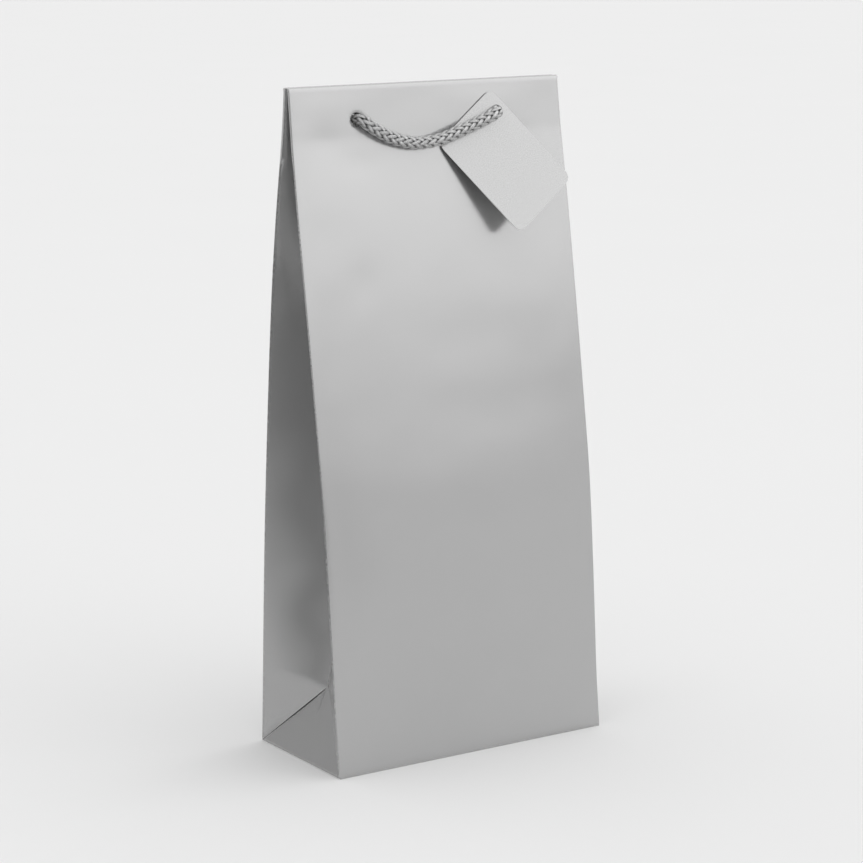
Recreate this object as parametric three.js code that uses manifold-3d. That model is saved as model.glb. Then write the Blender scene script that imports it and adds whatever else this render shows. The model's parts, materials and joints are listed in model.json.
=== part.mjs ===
// Two-bottle wine gift bag: a folded paper shopping bag with V-folded sides, a block base,
// braided cord handles and a gift tag. It stands open at the base and pressed shut at the mouth.
//
// Frame: origin in the middle of the base on the surface it stands on, +X across the width to
// the right, +Y into the depth, +Z up. Front is -Y. All sizes are in millimetres.
import * as THREE from 'three';
import { mergeVertices } from 'three/addons/utils/BufferGeometryUtils.js';
import Module from 'manifold-3d';

const wasm = await Module();
wasm.setup();

// ---- Driving dimensions --------------------------------------------------------------------
const WIDTH = 178;            // base width, 7 in
const DEPTH = 89;             // base depth, 3.5 in
const HEIGHT = 381;           // panel length from the bottom crease to the mouth, 15 in
const MOUTH_GAP = 5.5;        // outside to outside across the closed mouth, at its corners

const PAPER = 0.4;            // laminated art paper
const CARD = 0.4;             // reinforcement behind the cord holes
const HEM = 0.25;             // the paper turned in over the reinforcement
const BOARD = 1.0;            // loose base board
const TAG_CARD = 0.5;
const GAP = 0.3;              // air between neighbouring pieces

const HEM_HEIGHT = 40;
const CARD_INSET = 3;         // from the panel's side edges
const CARD_HEIGHT = 37;
const SEAM_WIDTH = 16;        // glued side seam
const FRONT_FLAP_OVERLAP = 15;  // past the base's middle line
const SIDE_FLAP_LENGTH = 50;
const SIDE_FLAP_TIP = 8;      // half the width left at the flap's free edge

const HOLE_SPACING = 90;      // between the two cord holes of one panel
const HOLE_SHIFT = -2;        // the punch sits a little to the left of the middle
const HOLE_DROP = 19;         // from the mouth down to the holes
const HOLE_RADIUS = 4;
const CORD_RADIUS = 3.25;
const CORD_SIDES = 10;

const TAG_WIDTH = 47.5;
const TAG_LENGTH = 69;
const TAG_CORNER = 4.8;
const TAG_HOLE_RADIUS = 3.8;
const TAG_HOLE_ALONG = 11.6;  // hole centre from the tag's short top edge
const TAG_HOLE_ACROSS = 6.6;  // and from its long upper edge
const TAG_TURN = THREE.MathUtils.degToRad(37.6);   // short edge below the horizontal
const TAG_TILT = THREE.MathUtils.degToRad(13);     // away from the panel, about the short edge
const TAG_REST = 0.6;         // short edge's stand-off from the panel

// ---- The closed bag's angles ---------------------------------------------------------------
const HALF_WIDTH = WIDTH / 2;
const HALF_DEPTH = DEPTH / 2;
const LEAN = Math.asin((HALF_DEPTH - MOUTH_GAP / 2) / HEIGHT);   // each panel leans inwards
const TRIANGLE_LEAN = Math.acos((1 - Math.sin(LEAN)) / Math.cos(LEAN));
const HOLE_HEIGHT = HEIGHT - HOLE_DROP;

// Depths below a panel's outer face at which the layers inside it start.
const CARD_DEPTH = PAPER + GAP;
const HEM_DEPTH = CARD_DEPTH + CARD + GAP;
const GUSSET_DEPTH = HEM_DEPTH + HEM + GAP + PAPER / 2;

// Heights of the layers that make the base.
const BACK_FLAP_Z = PAPER + GAP;
const SIDE_FLAP_Z = BACK_FLAP_Z + PAPER + GAP;
const BOARD_Z = SIDE_FLAP_Z + PAPER + GAP;

const bag = new THREE.Group();

// ---- Materials -----------------------------------------------------------------------------
const silverPaper = () => new THREE.MeshStandardMaterial({ color: 0xb9babd, roughness: 0.38, metalness: 0.6 });
const plainCard = () => new THREE.MeshStandardMaterial({ color: 0xd8d6d0, roughness: 0.9, metalness: 0 });
const greyBoard = () => new THREE.MeshStandardMaterial({ color: 0xc9c6be, roughness: 0.95, metalness: 0 });
const silverCord = () => new THREE.MeshStandardMaterial({ color: 0x9a9b9e, roughness: 0.45, metalness: 0.5 });
const tagCard = () => new THREE.MeshStandardMaterial({ color: 0xc4c5c8, roughness: 0.4, metalness: 0.5 });

function addMesh(parent, name, geometry, material) {
  const mesh = new THREE.Mesh(geometry, material);
  mesh.name = name;
  parent.add(mesh);
  return mesh;
}

// ---- Solids --------------------------------------------------------------------------------
function toManifold(geometry) {
  const bare = geometry.clone();
  bare.deleteAttribute('normal');
  bare.deleteAttribute('uv');
  const merged = mergeVertices(bare, 1e-4);
  return new wasm.Manifold(new wasm.Mesh({
    numProp: 3,
    vertProperties: new Float32Array(merged.attributes.position.array),
    triVerts: new Uint32Array(merged.index.array),
  }));
}

function fromManifold(solid) {
  const mesh = solid.getMesh();
  const geometry = new THREE.BufferGeometry();
  geometry.setAttribute('position', new THREE.BufferAttribute(mesh.vertProperties, 3));
  geometry.setIndex(new THREE.BufferAttribute(mesh.triVerts, 1));
  return geometry;
}

function cut(geometry, cutters) {
  return fromManifold(cutters.reduce((solid, cutter) => solid.subtract(toManifold(cutter)), toManifold(geometry)));
}

// A flat sheet in the panel's own plane: x across, y into the bag from the outer face, z up.
function sheet(xLow, xHigh, zLow, zHigh, depth, thickness) {
  const geometry = new THREE.BoxGeometry(xHigh - xLow, thickness, zHigh - zLow);
  return geometry.translate((xLow + xHigh) / 2, depth + thickness / 2, (zLow + zHigh) / 2);
}

// A punch along the panel's y axis.
function punch(x, z, radius) {
  const length = 3 * HALF_DEPTH;
  return new THREE.CylinderGeometry(radius, radius, length, 28).translate(x, 0, z);
}

// A flat sheet lying level, from its outline in x and y.
function levelSheet(outline, z, thickness) {
  const shape = new THREE.Shape(outline.map(([x, y]) => new THREE.Vector2(x, y)));
  return new THREE.ExtrudeGeometry(shape, { depth: thickness, bevelEnabled: false }).translate(0, 0, z);
}

function cordTube(route, across, through, steps) {
  const curve = new THREE.CatmullRomCurve3(route.map(([x, off, z]) => new THREE.Vector3(x, -off, z)));
  const section = new THREE.Shape().absellipse(0, 0, across, through, 0, 2 * Math.PI);
  return new THREE.ExtrudeGeometry(section, {
    steps, extrudePath: curve, curveSegments: CORD_SIDES / 2, bevelEnabled: false,
  });
}

// ---- Panel assemblies ----------------------------------------------------------------------
// A panel's own group has x across, y into the bag and z up along the leaning panel. The back
// assembly is the front one turned half a turn about the vertical.
const worldSide = (side, mirror) => ((mirror === -1) === (side === 'front') ? 'left' : 'right');
const holesOf = (shift) => [-1, 1].map((side) => ({ side, x: side * HOLE_SPACING / 2 + shift }));

function addPanel(parent, side, holes) {
  const punches = holes.map(({ x }) => punch(x, HOLE_HEIGHT, HOLE_RADIUS));
  const panel = sheet(-HALF_WIDTH, HALF_WIDTH, PAPER + GAP + 0.1, HEIGHT, 0, PAPER);
  addMesh(parent, `${side}_panel`, cut(panel, punches), silverPaper());

  const cardHalf = HALF_WIDTH - CARD_INSET;
  const cardTop = HEIGHT - 1;
  const card = sheet(-cardHalf, cardHalf, cardTop - CARD_HEIGHT, cardTop, CARD_DEPTH, CARD);
  addMesh(parent, `${side}_top_card`, cut(card, punches), plainCard());

  const hemHalf = HALF_WIDTH - 1.3;
  const hem = sheet(-hemHalf, hemHalf, HEIGHT - HEM_HEIGHT, HEIGHT, HEM_DEPTH, HEM);
  addMesh(parent, `${side}_top_hem`, cut(hem, punches), silverPaper());
}

// Inside the closed mouth the soft braid is pressed flat. Each end runs in through its hole,
// turns down and slants towards the middle, and stops in a knot below the reinforcement.
const FLAT_ACROSS = 3;
const FLAT_THROUGH = 1.05;
const KNOT_ACROSS = 7;
const KNOT_THROUGH = 3.7;
const KNOT_UP = 7;
const KNOT_DROP = 36;         // from the hole down to the knot's middle
const KNOT_SHIFT = 9;         // towards the middle of the panel
const KNOT_DEPTH = 4.6;

function addCordEnd(parent, name, hole, outerEnd) {
  const inward = -hole.side;
  const x = hole.x + 0.5 * inward;
  const down = (drop) => HOLE_HEIGHT - drop;
  const route = [
    [x, outerEnd, down(-0.1)],
    [x, -0.6, down(0)],
    [x, -1.9, down(0.1)],
    [x, -2.8, down(0.7)],
    [x, -3.1, down(2)],
    [x + 0.7 * inward, -3.1, down(4)],
    [x + 4 * inward, -3.2, down(10)],
    [x + 7 * inward, -3.9, down(20)],
    [hole.x + KNOT_SHIFT * inward, -KNOT_DEPTH, down(KNOT_DROP - KNOT_UP - GAP)],
  ];
  addMesh(parent, `${name}_end`, cordTube(route, FLAT_ACROSS, FLAT_THROUGH, 36), silverCord());

  const knot = new THREE.SphereGeometry(1, 16, 10).rotateX(Math.PI / 2);
  knot.scale(KNOT_ACROSS, KNOT_THROUGH, KNOT_UP);
  knot.translate(hole.x + KNOT_SHIFT * inward, KNOT_DEPTH, down(KNOT_DROP));
  addMesh(parent, `${name}_knot`, knot, silverCord());
}

// The stretch of cord outside a panel: x across, stand-off from the panel, height on the panel.
// The front cord's right-hand stretch lies over the tag, so it stands further off.
const FRONT_LOOP = [
  [-47, 3.8, 362],
  [-43, 3.9, 359.3],
  [-37.5, 3.9, 355.7],
  [-30, 3.9, 351.8],
  [-20.5, 3.9, 348.7],
  [-10, 4.2, 347.1],
  [2, 5.3, 348.2],
  [14, 6.3, 351.7],
  [27, 7.2, 356.2],
  [36, 7.8, 359.5],
  [43, 7.9, 362],
];
const BACK_LOOP = [
  [-43, 3.8, 362],
  [-39.5, 3.9, 359],
  [-34, 3.9, 354.6],
  [-25, 3.9, 349.5],
  [-13, 3.9, 345.9],
  [2, 3.9, 344.6],
  [17, 3.9, 345.9],
  [29, 3.9, 349.5],
  [38, 3.9, 354.6],
  [43.5, 3.9, 359],
  [47, 3.8, 362],
];

function addHandle(parent, side, holes, loop) {
  addMesh(parent, `${side}_handle_loop`, cordTube(loop, CORD_RADIUS, CORD_RADIUS, 30), silverCord());
  const ends = [loop[0], loop[loop.length - 1]];
  holes.forEach((hole, index) => {
    const outerEnd = ends[index][1] - CORD_RADIUS - 0.4;
    addCordEnd(parent, `${side}_handle_${worldSide(side, hole.side)}`, hole, outerEnd);
  });
}

function addWall(side) {
  const wall = new THREE.Group();
  const lean = new THREE.Group();
  lean.position.y = -HALF_DEPTH;
  lean.rotation.x = -LEAN;
  wall.add(lean);
  if (side === 'back') wall.rotation.z = Math.PI;
  bag.add(wall);
  const holes = holesOf(side === 'front' ? HOLE_SHIFT : -HOLE_SHIFT);
  addPanel(lean, side, holes);
  addHandle(lean, side, holes, side === 'front' ? FRONT_LOOP : BACK_LOOP);
  return lean;
}

// ---- Gussets -------------------------------------------------------------------------------
// Each side of the bag is folded inwards in a V. A gusset half is a ruled sheet. In every slice
// square to the panel's side edge it starts at that edge, steps in behind the hem, and runs
// straight to the crease in the middle plane. Below the fold's apex it ends on the 45-degree
// crease of the base triangle instead.
const CREASE_CLEARANCE = 1;
const EDGE_INSET = 0.2;
const SLICE_HEIGHTS = [6, 15, 25, 35, HALF_DEPTH, 60, 80, 105, 135, 170, 210, 250, 290, 330, HEIGHT];

function gussetSlice(height) {
  const toMiddle = (HALF_DEPTH - height * Math.sin(LEAN)) / Math.cos(LEAN);
  const length = Math.min(height, HALF_DEPTH) - CREASE_CLEARANCE;
  const sine = height < HALF_DEPTH ? Math.cos(TRIANGLE_LEAN) : toMiddle / HALF_DEPTH;
  const depth = Math.min(length * sine, toMiddle - 0.4);
  const inwards = length * Math.sqrt(1 - sine * sine);
  return [
    { inwards: EDGE_INSET, depth: CARD_DEPTH },
    { inwards: EDGE_INSET + 0.3, depth: GUSSET_DEPTH },
    { inwards, depth },
  ];
}

// The slice's points moved square to the sheet by half its thickness, to one side or the other.
function offsetSlice(slice, offset) {
  return slice.map((point, i) => {
    const before = slice[Math.max(i - 1, 0)];
    const after = slice[Math.min(i + 1, slice.length - 1)];
    const along = new THREE.Vector2(after.inwards - before.inwards, after.depth - before.depth).normalize();
    return { inwards: point.inwards + along.y * offset, depth: point.depth - along.x * offset };
  });
}

function gussetHalf(mirror, holeX) {
  const faces = [1, -1].map((sign) => SLICE_HEIGHTS.map((height) => (
    offsetSlice(gussetSlice(height), sign * PAPER / 2).map(({ inwards, depth }) => (
      new THREE.Vector3(mirror * (HALF_WIDTH - inwards), depth, height)
    ))
  )));
  const geometry = closedSheet(faces[0], faces[1]);
  return cut(geometry, [punch(holeX, HOLE_HEIGHT, HOLE_RADIUS + GAP)]);
}

// Joins two matching grids of points, a sheet's two faces, into one closed solid.
function closedSheet(outer, inner) {
  const rows = outer.length;
  const columns = outer[0].length;
  const points = [...outer.flat(), ...inner.flat()];
  const at = (face, row, column) => (face * rows + row) * columns + column;
  const quads = [];
  for (let row = 0; row + 1 < rows; row += 1) {
    for (let column = 0; column + 1 < columns; column += 1) {
      const quad = (face) => [at(face, row, column), at(face, row, column + 1),
        at(face, row + 1, column + 1), at(face, row + 1, column)];
      quads.push(quad(0));
      quads.push(quad(1).reverse());
    }
    quads.push([at(0, row, 0), at(0, row + 1, 0), at(1, row + 1, 0), at(1, row, 0)]);
    const last = columns - 1;
    quads.push([at(0, row + 1, last), at(0, row, last), at(1, row, last), at(1, row + 1, last)]);
  }
  for (let column = 0; column + 1 < columns; column += 1) {
    quads.push([at(0, 0, column + 1), at(0, 0, column), at(1, 0, column), at(1, 0, column + 1)]);
    const top = rows - 1;
    quads.push([at(0, top, column), at(0, top, column + 1), at(1, top, column + 1), at(1, top, column)]);
  }
  const triangles = quads.flatMap(([a, b, c, d]) => [[a, b, c], [a, c, d]]);
  const volume = triangles.reduce((sum, [a, b, c]) => (
    sum + points[a].dot(new THREE.Vector3().crossVectors(points[b], points[c]))
  ), 0);
  const facingOut = volume > 0 ? triangles : triangles.map(([a, b, c]) => [a, c, b]);
  const geometry = new THREE.BufferGeometry().setFromPoints(points);
  geometry.setIndex(facingOut.flat());
  return geometry;
}

function addGussetHalves(lean, side, shift) {
  for (const mirror of [-1, 1]) {
    const hole = holesOf(shift).find((each) => each.side === mirror);
    addMesh(lean, `${worldSide(side, mirror)}_gusset_${side}_half`, gussetHalf(mirror, hole.x), silverPaper());
  }
}

// The triangle that the folded-in side leaves above the base, leaning in from the base's edge.
function addBaseTriangle(side) {
  const turn = new THREE.Group();
  if (side === 'right') turn.rotation.z = Math.PI;
  bag.add(turn);
  const low = PAPER + GAP + 0.1;
  const clear = 0.8;
  const corner = HALF_DEPTH - low - clear;
  const shape = new THREE.Shape([
    new THREE.Vector2(-corner, low),
    new THREE.Vector2(corner, low),
    new THREE.Vector2(0, HALF_DEPTH - clear),
  ]);
  const geometry = new THREE.ExtrudeGeometry(shape, { depth: PAPER, bevelEnabled: false });
  const mesh = addMesh(turn, `${side}_base_triangle`, geometry, silverPaper());
  const along = new THREE.Vector3(0, 1, 0);
  const up = new THREE.Vector3(Math.sin(TRIANGLE_LEAN), 0, Math.cos(TRIANGLE_LEAN));
  const inwards = new THREE.Vector3().crossVectors(along, up);
  mesh.quaternion.setFromRotationMatrix(new THREE.Matrix4().makeBasis(along, up, inwards));
  mesh.position.x = -HALF_WIDTH;
}

// ---- Base ----------------------------------------------------------------------------------
// The two side flaps fold in first, then the back flap, then the front flap over it, each with
// its ends cut at 45 degrees. The loose board lies on them inside.
function flap(halfLength, creaseY, tipY, z) {
  const tipHalf = halfLength - Math.abs(tipY - creaseY);
  return levelSheet([[-halfLength, creaseY], [halfLength, creaseY], [tipHalf, tipY], [-tipHalf, tipY]], z, PAPER);
}

function addBase() {
  const base = new THREE.Group();
  bag.add(base);
  const frontFlap = flap(HALF_WIDTH - 0.3, -(HALF_DEPTH - 0.3), FRONT_FLAP_OVERLAP, 0);
  addMesh(base, 'base_front_flap', frontFlap, silverPaper());
  const backFlap = flap(HALF_WIDTH - 0.9, -(HALF_DEPTH - 0.9), -4, BACK_FLAP_Z);
  addMesh(base, 'base_back_flap', backFlap, silverPaper()).rotation.z = Math.PI;

  for (const side of [-1, 1]) {
    const creaseX = HALF_WIDTH - 1.8;
    const halfSpan = HALF_DEPTH - 1.2;
    const tipX = creaseX - SIDE_FLAP_LENGTH;
    const outline = [[creaseX, -halfSpan], [creaseX, halfSpan], [tipX, SIDE_FLAP_TIP], [tipX, -SIDE_FLAP_TIP]];
    const name = side < 0 ? 'base_left_flap' : 'base_right_flap';
    const mesh = addMesh(base, name, levelSheet(outline, SIDE_FLAP_Z, PAPER), silverPaper());
    if (side < 0) mesh.rotation.z = Math.PI;
  }

  const boardX = HALF_WIDTH - 4.5;
  const boardY = HALF_DEPTH - 2;
  const board = levelSheet([[-boardX, -boardY], [boardX, -boardY], [boardX, boardY], [-boardX, boardY]],
    BOARD_Z, BOARD);
  addMesh(base, 'base_board', board, greyBoard());
}

// ---- Glued side seam -----------------------------------------------------------------------
// The right gusset's back half carries on round the back right edge as a glued strip.
function addSeam(backLean) {
  const outer = -(HALF_WIDTH - 1.3);
  const top = HEIGHT - HEM_HEIGHT - 2;
  addMesh(backLean, 'side_seam_flap', sheet(outer, outer + SEAM_WIDTH, 4, top, CARD_DEPTH, PAPER), silverPaper());
}

// ---- Gift tag ------------------------------------------------------------------------------
// A card with round corners, threaded on the front cord at the right-hand hole. Its short top
// edge touches the panel and the far end stands off. The tag's own axes are u along its long
// side and v across it, from its upper right corner.
function addTag(frontLean) {
  const shape = new THREE.Shape();
  const r = TAG_CORNER;
  shape.moveTo(r, 0);
  shape.lineTo(TAG_LENGTH - r, 0);
  shape.absarc(TAG_LENGTH - r, r, r, -Math.PI / 2, 0);
  shape.lineTo(TAG_LENGTH, TAG_WIDTH - r);
  shape.absarc(TAG_LENGTH - r, TAG_WIDTH - r, r, 0, Math.PI / 2);
  shape.lineTo(r, TAG_WIDTH);
  shape.absarc(r, TAG_WIDTH - r, r, Math.PI / 2, Math.PI);
  shape.lineTo(0, r);
  shape.absarc(r, r, r, Math.PI, 1.5 * Math.PI);
  const hole = new THREE.Path().absarc(TAG_HOLE_ALONG, TAG_HOLE_ACROSS, TAG_HOLE_RADIUS, 0, 2 * Math.PI, true);
  shape.holes.push(hole);
  const geometry = new THREE.ExtrudeGeometry(shape, { depth: TAG_CARD, bevelEnabled: false, curveSegments: 8 });

  // Turned about the hole: v runs down to the left, u down to the right and out of the panel.
  geometry.translate(-TAG_HOLE_ALONG, -TAG_HOLE_ACROSS, 0);
  const v = new THREE.Vector3(-Math.cos(TAG_TURN), 0, -Math.sin(TAG_TURN));
  const flatU = new THREE.Vector3(Math.sin(TAG_TURN), 0, -Math.cos(TAG_TURN));
  const outwards = new THREE.Vector3(0, -1, 0);
  const u = flatU.multiplyScalar(Math.cos(TAG_TILT)).addScaledVector(outwards, Math.sin(TAG_TILT));
  const tag = addMesh(frontLean, 'gift_tag', geometry, tagCard());
  tag.quaternion.setFromRotationMatrix(new THREE.Matrix4().makeBasis(u, v, new THREE.Vector3().crossVectors(u, v)));
  const holeStandOff = TAG_REST + TAG_CARD + TAG_HOLE_ALONG * Math.sin(TAG_TILT);
  tag.position.set(holesOf(HOLE_SHIFT)[1].x, -holeStandOff, HOLE_HEIGHT);
}

// ---- Assembly ------------------------------------------------------------------------------
addBase();
const frontLean = addWall('front');
const backLean = addWall('back');
addGussetHalves(frontLean, 'front', HOLE_SHIFT);
addGussetHalves(backLean, 'back', -HOLE_SHIFT);
addBaseTriangle('left');
addBaseTriangle('right');
addSeam(backLean);
addTag(frontLean);

export default bag;
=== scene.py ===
"""Looks of the two-bottle wine gift bag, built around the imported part.

Every size is in metres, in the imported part's frame: origin in the middle of the base, +X to the
right, -Y to the front, +Z up. A panel has coordinates of its own, in which most things are placed:
x across, the stand-off from its outer face, and the height measured along the leaning panel.
"""

import json
import math

import bpy
import numpy as np
from mathutils import Matrix, Vector, noise


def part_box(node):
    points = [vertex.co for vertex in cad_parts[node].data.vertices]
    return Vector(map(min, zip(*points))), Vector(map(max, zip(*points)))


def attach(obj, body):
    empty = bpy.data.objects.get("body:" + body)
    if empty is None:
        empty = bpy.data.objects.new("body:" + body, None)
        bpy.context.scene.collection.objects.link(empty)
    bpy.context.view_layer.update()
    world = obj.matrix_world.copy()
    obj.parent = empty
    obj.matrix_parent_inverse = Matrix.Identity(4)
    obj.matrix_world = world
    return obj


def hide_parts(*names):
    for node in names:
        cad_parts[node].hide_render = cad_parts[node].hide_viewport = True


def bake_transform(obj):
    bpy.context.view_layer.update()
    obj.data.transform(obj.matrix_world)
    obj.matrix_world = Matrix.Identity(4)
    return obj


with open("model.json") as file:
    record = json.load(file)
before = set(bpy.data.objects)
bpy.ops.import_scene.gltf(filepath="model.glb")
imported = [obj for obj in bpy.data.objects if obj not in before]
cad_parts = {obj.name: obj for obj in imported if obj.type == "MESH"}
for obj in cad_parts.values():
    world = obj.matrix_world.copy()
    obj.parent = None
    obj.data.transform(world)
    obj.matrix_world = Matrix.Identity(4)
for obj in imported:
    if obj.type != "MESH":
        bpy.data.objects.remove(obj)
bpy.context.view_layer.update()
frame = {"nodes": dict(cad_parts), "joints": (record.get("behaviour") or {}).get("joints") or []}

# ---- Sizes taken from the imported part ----
JOINTS = {joint["name"]: joint for joint in frame["joints"]}


def joint_travel(name):
    return math.radians(JOINTS[name]["range_deg"][1])


LEAN = joint_travel("mouth_opening")
TRIANGLE_LEAN = joint_travel("left_base_triangle_unfolding")
GUSSET_TRAVEL = joint_travel("left_gusset_front_half_unfolding")
HALF_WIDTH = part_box("front_panel")[1][0]
HALF_DEPTH = -JOINTS["mouth_opening"]["pos_m"][1]
PANEL_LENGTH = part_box("front_panel")[1][2] / math.cos(LEAN)

# ---- Sizes of the paper, the cord and the tag ----
PAPER = 0.0003
HEM_HEIGHT = 0.040
HEM_DEPTH = 0.00153          # middle of the turned-in paper, below the panel's outer face
CREASE_RADIUS = 0.0006

HOLE_HEIGHT = PANEL_LENGTH - 0.019
HOLE_RADIUS = 0.004
HOLE_SPACING = 0.090
HOLE_SHIFT = {"front": -0.002, "back": 0.002}   # in the panel's own x
HOLE_SQUARE = 0.008          # half the square of grid that is rebuilt around a hole
HOLE_RINGS = (0.72, 0.48, 0.28, 0.13, 0.04, 0)   # shares of the way from the hole to that square
NOTCH_RADIUS = 0.0046        # in the gussets' creases, where the cord passes

LOOPS = {
    "front": [
        (-0.047, 0.0038, 0.362), (-0.043, 0.0039, 0.3593), (-0.0375, 0.0039, 0.3557),
        (-0.030, 0.0039, 0.3518), (-0.0205, 0.0039, 0.3487), (-0.010, 0.0042, 0.3471),
        (0.002, 0.0053, 0.3482), (0.014, 0.0063, 0.3517), (0.027, 0.0072, 0.3562),
        (0.036, 0.0078, 0.3595), (0.043, 0.0079, 0.362),
    ],
    "back": [
        (-0.043, 0.0038, 0.362), (-0.0395, 0.0039, 0.359), (-0.034, 0.0039, 0.3546),
        (-0.025, 0.0039, 0.3495), (-0.013, 0.0039, 0.3459), (0.002, 0.0039, 0.3446),
        (0.017, 0.0039, 0.3459), (0.029, 0.0039, 0.3495), (0.038, 0.0039, 0.3546),
        (0.0435, 0.0039, 0.359), (0.047, 0.0038, 0.362),
    ],
}
KNOT_SHIFT = 0.009           # towards the panel's middle from the hole
KNOT_DROP = 0.036
KNOT_DEPTH = 0.0046

TAG_LENGTH = 0.069
TAG_WIDTH = 0.0475
TAG_CORNER = 0.0048
TAG_CARD = 0.0005
TAG_HOLE = (0.0116, 0.0066)  # from the short top edge and from the long upper edge
TAG_HOLE_RADIUS = 0.0038
TAG_TURN = math.radians(37.6)
TAG_TILT = math.radians(13)
TAG_REST = 0.0006


# ---- Geometry helpers ----
def smooth_step(value, low, high):
    share = np.clip((np.asarray(value, float) - low) / (high - low), 0, 1)
    return share * share * (3 - 2 * share)


def film_lightening(distance, amount, reach):
    """How much the film is lightened at a distance from an edge where it is the given amount; the
    lightening is wear, and at the side creases also a painted highlight.
    """
    return amount * np.exp(-distance / reach)


def unit(vectors):
    return vectors / np.maximum(np.linalg.norm(vectors, axis=-1, keepdims=True), 1e-12)


def on_panel(side, x, stand_off, height):
    """Points in the part's frame from a panel's own coordinates."""
    turn = -1 if side == "back" else 1
    y = -HALF_DEPTH + height * math.sin(LEAN) - stand_off * math.cos(LEAN)
    z = height * math.cos(LEAN) + stand_off * math.sin(LEAN)
    return np.stack(np.broadcast_arrays(turn * x, turn * y, z), axis=-1)


def holes_of(side):
    return [(sign * HOLE_SPACING / 2 + HOLE_SHIFT[side], HOLE_HEIGHT) for sign in (-1, 1)]


def spaced(keys, step):
    """Grid lines through every key value and about one step apart between them."""
    lines = []
    for low, high in zip(keys, keys[1:]):
        count = max(1, round(abs(high - low) / step))
        lines.extend(low + (high - low) * i / count for i in range(count))
    return lines + [keys[-1]]


def grid_faces(rows, columns, closed=False):
    """Quads between neighbouring rows of points, which are rings if they are closed."""
    return [
        (r * columns + c, r * columns + (c + 1) % columns,
         (r + 1) * columns + (c + 1) % columns, (r + 1) * columns + c)
        for r in range(rows - 1)
        for c in range(columns if closed else columns - 1)
    ]


def punched_grid(across, along, holes):
    """A flat grid with round holes: its points, its faces and nothing inside a hole.

    Each hole (x, y, radius) has grid lines on all sides of its square, and rings of quads join the
    square to the circle.
    """
    near = HOLE_SQUARE - 1e-7
    index, points, faces = {}, [], []

    def covered(x, y):
        return any(abs(x - hx) < near and abs(y - hy) < near for hx, hy, _ in holes)

    for j, y in enumerate(along):
        for i, x in enumerate(across):
            if not covered(x, y):
                index[i, j] = len(points)
                points.append((x, y))
    for j in range(len(along) - 1):
        for i in range(len(across) - 1):
            middle = ((across[i] + across[i + 1]) / 2, (along[j] + along[j + 1]) / 2)
            if not covered(*middle):
                faces.append((index[i, j], index[i + 1, j], index[i + 1, j + 1], index[i, j + 1]))

    for hx, hy, radius in holes:
        edge = [k for k, (x, y) in enumerate(points)
                if abs(max(abs(x - hx), abs(y - hy)) - HOLE_SQUARE) < 1e-7]
        edge.sort(key=lambda k: math.atan2(points[k][1] - hy, points[k][0] - hx))
        outer = edge
        for share in HOLE_RINGS:
            ring = []
            for k in edge:
                dx, dy = points[k][0] - hx, points[k][1] - hy
                scale = share + (1 - share) * radius / math.hypot(dx, dy)
                ring.append(len(points))
                points.append((hx + dx * scale, hy + dy * scale))
            for k in range(len(edge)):
                after = (k + 1) % len(edge)
                faces.append((outer[k], outer[after], ring[after], ring[k]))
            outer = ring
    return np.array(points), faces


def point_normals(points, faces):
    """Unit normals at the points of a sheet, from the faces around each."""
    corners = points[np.array(faces)]
    across = corners[:, 2] - corners[:, 0]
    other = corners[:, 3] - corners[:, 1]
    normals = np.zeros_like(points)
    for corner in range(4):
        np.add.at(normals, np.array(faces)[:, corner], np.cross(across, other))
    return unit(normals)


def boundary_edges(faces):
    directed = {(face[k], face[(k + 1) % len(face)]) for face in faces for k in range(len(face))}
    return [(a, b) for a, b in sorted(directed) if (b, a) not in directed]


def add_mesh(name, points, faces, materials, face_material=None, **attributes):
    """A smooth-shaded mesh object, with one float or vector attribute for each extra argument."""
    mesh = bpy.data.meshes.new(name)
    mesh.from_pydata(np.asarray(points).tolist(), [], faces)
    for material in materials:
        mesh.materials.append(material)
    if face_material is not None:
        mesh.polygons.foreach_set("material_index", np.asarray(face_material, np.int32))
    mesh.polygons.foreach_set("use_smooth", np.ones(len(mesh.polygons), bool))
    for key, values in attributes.items():
        values = np.asarray(values, np.float32)
        kind, field = ("FLOAT", "value") if values.ndim == 1 else ("FLOAT_VECTOR", "vector")
        layer = mesh.attributes.new(key, kind, "POINT")
        layer.data.foreach_set(field, values.ravel())
    mesh.validate()
    mesh.update()
    obj = bpy.data.objects.new(name, mesh)
    bpy.context.scene.collection.objects.link(obj)
    return obj


def sharpen(obj, degrees=40):
    """Keeps the edges sharp where a sheet's faces meet its rim."""
    obj.data.set_sharp_from_angle(angle=math.radians(degrees))


def add_sheet(name, middle, faces, thickness, materials, inside_material=None, wear=None):
    """A closed sheet of paper around a middle surface whose normals point to the silver side.

    The materials are the silver side's and the plain side's, which the rim has too.
    """
    count = len(middle)
    offset = point_normals(middle, faces) * thickness / 2
    points = np.concatenate([middle + offset, middle - offset])
    back = [tuple(count + k for k in reversed(face)) for face in faces]
    rim = [(b, a, count + a, count + b) for a, b in boundary_edges(faces)]
    inside = inside_material if inside_material is not None else [1] * len(faces)
    face_material = [0] * len(faces) + list(inside) + [1] * len(rim)
    film_lightened = np.zeros(count) if wear is None else wear
    obj = add_mesh(name, points, list(faces) + back + rim, materials, face_material,
                   wear=np.concatenate([film_lightened, film_lightened]))
    sharpen(obj)
    return obj


def smooth_curve(points, step):
    """Points about one step apart on a Catmull-Rom curve through the given points."""
    points = np.array(points, float)
    padded = np.concatenate([[2 * points[0] - points[1]], points, [2 * points[-1] - points[-2]]])
    dense = []
    for k in range(1, len(padded) - 2):
        p0, p1, p2, p3 = padded[k - 1:k + 3]
        t = np.linspace(0, 1, 24, endpoint=False)[:, None]
        dense.append(0.5 * (2 * p1 + (p2 - p0) * t + (2 * p0 - 5 * p1 + 4 * p2 - p3) * t ** 2
                            + (3 * p1 - p0 - 3 * p2 + p3) * t ** 3))
    dense = np.concatenate(dense + [points[-1:]])
    return resampled(dense, step)


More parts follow.
